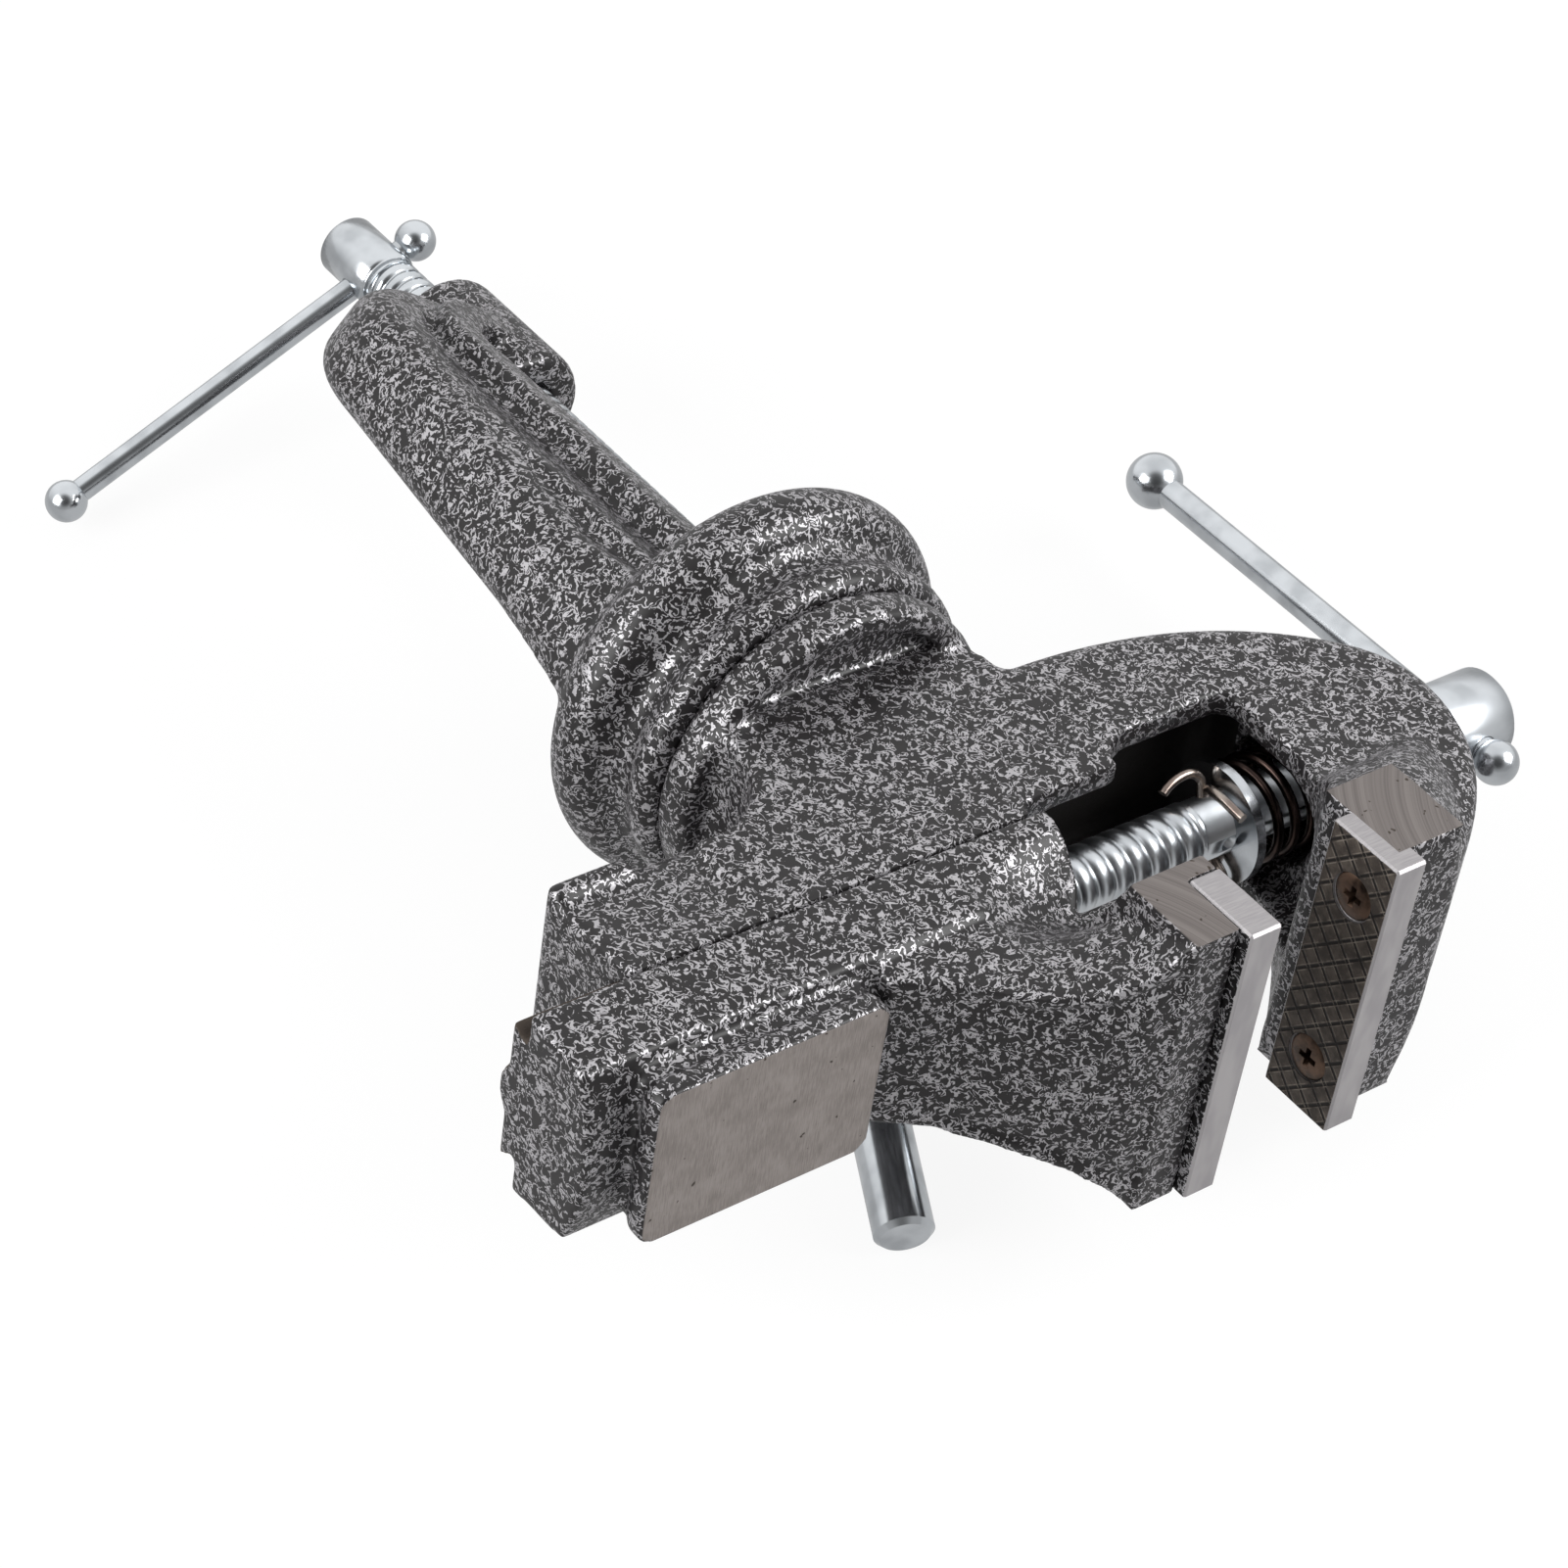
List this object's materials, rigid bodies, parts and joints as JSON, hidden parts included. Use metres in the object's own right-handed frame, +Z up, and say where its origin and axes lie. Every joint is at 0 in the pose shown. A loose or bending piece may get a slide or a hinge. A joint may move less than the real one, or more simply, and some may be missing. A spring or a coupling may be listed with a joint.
{
  "type": "bench vise",
  "caption": "Clamp-on bench vise with swivel base: moving jaw on a dovetail slider, fixed front jaw, anvil, ball-ended handles, lock lever and underside clamp screw",
  "frame": {"origin": "on the swivel axis, in the plane of the base's underside that rests on the bench top", "axes": "+X along the spindle towards its handle, +Y across the jaws, +Z up out of the bench, normal to the anvil face"},
  "size_m": [0.2144, 0.0956, 0.2796],
  "materials": {
    "paint": "near-black hammered enamel with pale grey veins, glossy",
    "zinc_steel": "bright zinc plate over turned steel",
    "dark_steel": "oiled turned steel",
    "plate_steel": "darkened hardened steel, faces hatched, edges ground",
    "screw_steel": "dark passivated steel with a golden cast",
    "brass": "plain turned"
  },
  "bodies": {
    "base": {"clamp_bracket": "paint", "swivel_pin": "dark_steel"},
    "vise": {"vise_body": "paint", "front_jaw_plate": "plate_steel", "front_plate_screws": "screw_steel", "spindle_spring": "zinc_steel"},
    "moving_jaw": {"slider": "paint", "rear_jaw_plate": "plate_steel", "rear_plate_screws": "screw_steel"},
    "spindle": {"main_spindle": "zinc_steel", "spindle_washer": "zinc_steel", "split_pin": "zinc_steel"},
    "handle": {"spindle_bar": "zinc_steel", "spindle_bar_large_ball": "zinc_steel", "spindle_bar_small_ball": "zinc_steel"},
    "shoe": {"lock_shoe": "brass"},
    "lock": {"lock_screw": "zinc_steel", "lock_lever": "zinc_steel"},
    "pad": {"clamp_pad": "zinc_steel"},
    "clamp": {"clamp_screw": "zinc_steel"},
    "clamp_handle": {"clamp_bar": "zinc_steel", "clamp_bar_balls": "zinc_steel"}
  },
  "joints": [
    {"name": "swivel", "type": "hinge", "parent": "base", "child": "vise", "pos_m": [0, 0, 0.026], "axis": [0, 0, 1], "continuous": true},
    {"name": "jaw_slide", "type": "slide", "parent": "vise", "child": "moving_jaw", "axis": [1, 0, 0], "range_m": [-0.0295, 0.0256]},
    {"name": "spindle_turn", "type": "hinge", "parent": "vise", "child": "spindle", "pos_m": [0.1102, 0, 0.078], "axis": [1, 0, 0], "range_deg": [-3060, 3528]},
    {"name": "handle_slide", "type": "slide", "parent": "spindle", "child": "handle", "axis": [0, 0, 1], "range_m": [0, 0.0705]},
    {"name": "shoe_push", "type": "slide", "parent": "vise", "child": "shoe", "axis": [0, 1, 0], "range_m": [-0.00035, 0.00026]},
    {"name": "lock_turn", "type": "hinge", "parent": "shoe", "child": "lock", "pos_m": [0, -0.036, 0.0446], "axis": [0, 1, 0], "range_deg": [-80, 60]},
    {"name": "pad_lift", "type": "slide", "parent": "base", "child": "pad", "axis": [0, 0, 1], "range_m": [-0.0551, 0.0116]},
    {"name": "clamp_turn", "type": "hinge", "parent": "pad", "child": "clamp", "pos_m": [0.01566, -0.00396, -0.0141], "axis": [0, 0, 1], "range_deg": [-6600, 1380]},
    {"name": "clamp_bar_slide", "type": "slide", "parent": "clamp", "child": "clamp_handle", "axis": [0.8965, 0.4431, 0], "range_m": [0, 0.0665]}
  ],
  "couplings": [
    {"joint": "jaw_slide", "follows": "spindle_turn", "m_per_rad": -0.00047746},
    {"joint": "shoe_push", "follows": "lock_turn", "m_per_rad": 0.00023873},
    {"joint": "pad_lift", "follows": "clamp_turn", "m_per_rad": 0.00047746}
  ]
}
